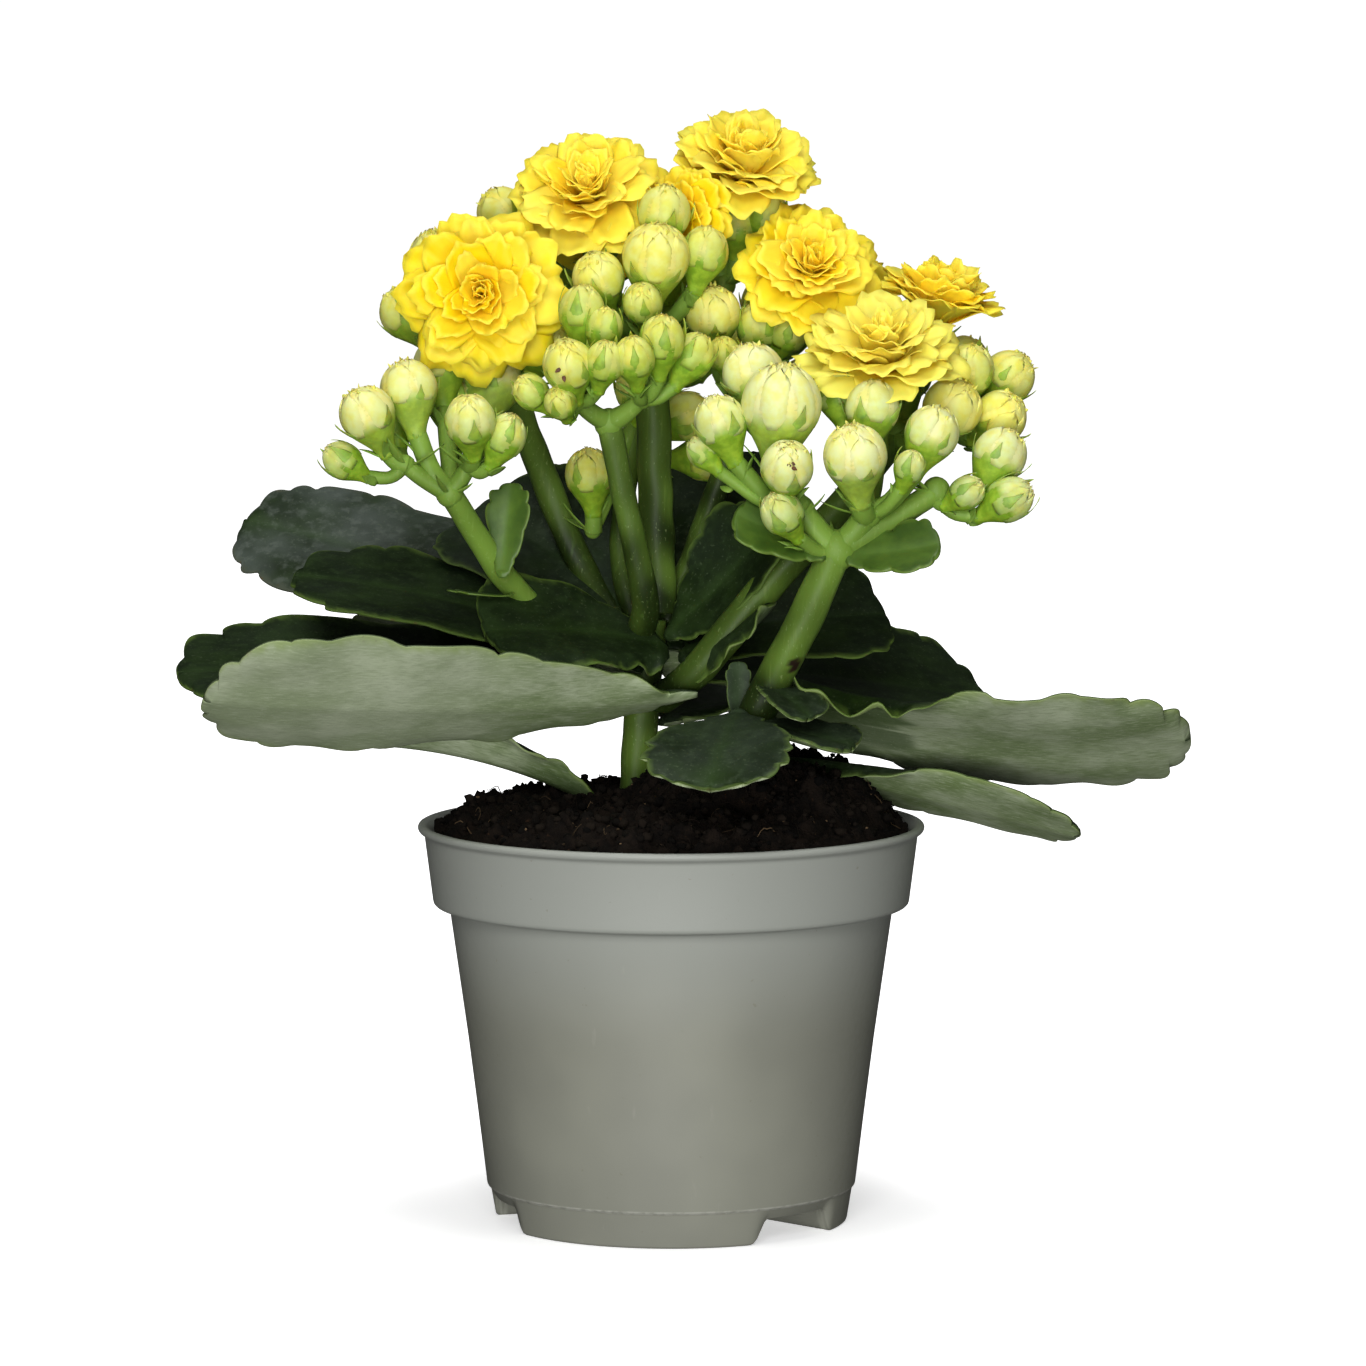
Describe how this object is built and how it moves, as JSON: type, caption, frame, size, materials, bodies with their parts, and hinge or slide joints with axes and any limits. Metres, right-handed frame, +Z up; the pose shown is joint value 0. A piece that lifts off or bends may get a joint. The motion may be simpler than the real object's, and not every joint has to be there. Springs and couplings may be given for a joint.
{
  "type": "potted kalanchoe",
  "caption": "Flowering kalanchoe with double yellow blooms, buds and scalloped leaves, planted in a tapered nursery pot with a wide collar and a footed base.",
  "frame": {"origin": "on the pot's axis, at the flat middle of its underside, level with the surface that it stands on", "axes": "+Z up along the pot's axis, -Y towards the plant's front, +X to the viewer's right"},
  "size_m": [0.1793, 0.126, 0.197],
  "materials": {
    "pot": "satin grey-green moulded plastic",
    "soil": "rough, crumbly dark peat",
    "stem": "smooth, fleshy green",
    "leaf": "smooth, waxy, dark green above and greyer below",
    "cyme": "smooth, fleshy, green stalks and pale yellow-green buds",
    "bloom": "soft matt yellow petals"
  },
  "bodies": {
    "root": {"pot": "pot", "soil": "soil", "main_stem": "stem", "side_stem": "stem", "cyme_left": "cyme", "cyme_upper_left": "cyme", "cyme_front": "cyme", "cyme_top": "cyme", "cyme_mid_right": "cyme", "cyme_right": "cyme", "cyme_far_right": "cyme", "cyme_back": "cyme", "cyme_back_right": "cyme", "leaf_front_left": "leaf", "leaf_left": "leaf", "leaf_left_back": "leaf", "leaf_left_dark": "leaf", "leaf_front": "leaf", "leaf_front_right": "leaf", "leaf_front_bowl": "leaf", "leaf_dark_back": "leaf", "leaf_front_low": "leaf", "leaf_front_low_right": "leaf", "leaf_right": "leaf", "leaf_right_low": "leaf", "leaf_back_upper": "leaf", "leaf_right_back": "leaf", "leaf_right_upper": "leaf", "leaf_left_low": "leaf", "leaf_back_left": "leaf", "leaf_back": "leaf", "leaf_back_right": "leaf", "bloom_left": "bloom", "bloom_top_left": "bloom", "bloom_top": "bloom", "bloom_top_right": "bloom", "bloom_mid_right": "bloom", "bloom_right": "bloom", "bloom_far_right": "bloom", "bloom_back": "bloom", "bloom_back_right": "bloom"}
  },
  "joints": []
}
